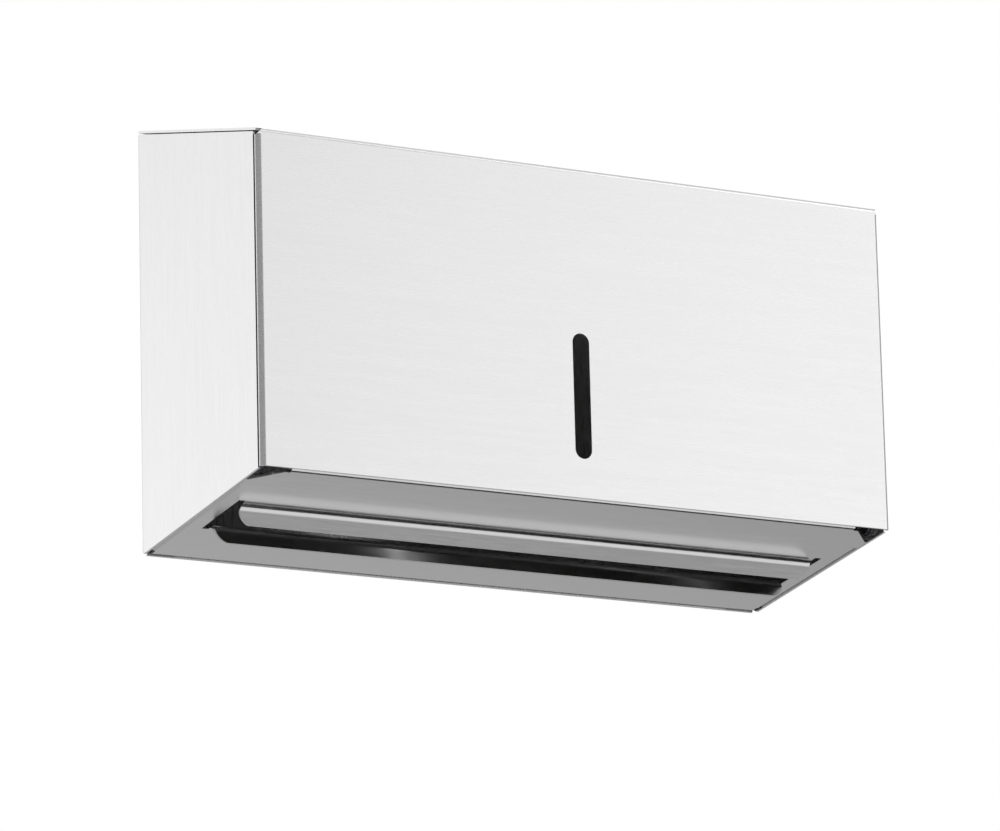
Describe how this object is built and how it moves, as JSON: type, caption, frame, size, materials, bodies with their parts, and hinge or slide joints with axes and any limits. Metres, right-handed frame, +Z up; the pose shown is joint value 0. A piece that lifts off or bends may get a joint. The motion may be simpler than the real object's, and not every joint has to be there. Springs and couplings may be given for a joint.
{
  "type": "paper towel dispenser",
  "caption": "Wall-mounted stainless dispenser for folded paper towels, with a hinged locking cover, a level window and a lipped slot in its sloping base.",
  "frame": {"origin": "middle of the four wall holes, on the back plate's wall face", "axes": "+X along the front to the right as a user sees it, +Y into the wall, +Z up"},
  "size_m": [0.275, 0.1, 0.1699],
  "materials": {
    "casing_steel": "brushed upright",
    "cover_steel": "brushed sideways",
    "base_steel": "brushed sideways",
    "bracket_steel": "phosphated, dark",
    "pin_steel": "turned and blackened",
    "spring_steel": "blued spring steel",
    "zinc_steel": "bright zinc plate",
    "lock_chrome": "polished plating",
    "nylon": "black nylon"
  },
  "bodies": {
    "casing": {"rear_casing": "casing_steel", "dispensing_base": "base_steel", "catch_bracket": "bracket_steel", "hinge_pin_left": "pin_steel", "hinge_pin_right": "pin_steel", "hinge_clip_left": "spring_steel", "hinge_clip_right": "spring_steel", "hinge_washer_left": "nylon", "hinge_washer_right": "nylon"},
    "cover": {"front_cover": "cover_steel", "hinge_ear_left": "bracket_steel", "hinge_ear_right": "bracket_steel", "hinge_bush_left": "nylon", "hinge_bush_right": "nylon", "lock_housing": "lock_chrome", "lock_washer": "zinc_steel", "lock_nut": "lock_chrome"},
    "latch": {"lock_plug": "lock_chrome", "lock_cam": "zinc_steel", "cam_washer": "zinc_steel", "cam_screw": "zinc_steel"}
  },
  "joints": [
    {"name": "cover_hinge", "type": "hinge", "parent": "casing", "child": "cover", "pos_m": [0, -0.089, -0.0666], "axis": [1, 0, 0], "range_deg": [0, 90]},
    {"name": "lock_turn", "type": "hinge", "parent": "cover", "child": "latch", "pos_m": [0, -0.0291, 0.07672], "axis": [0, -0.2425, 0.9701], "range_deg": [0, 90]}
  ]
}
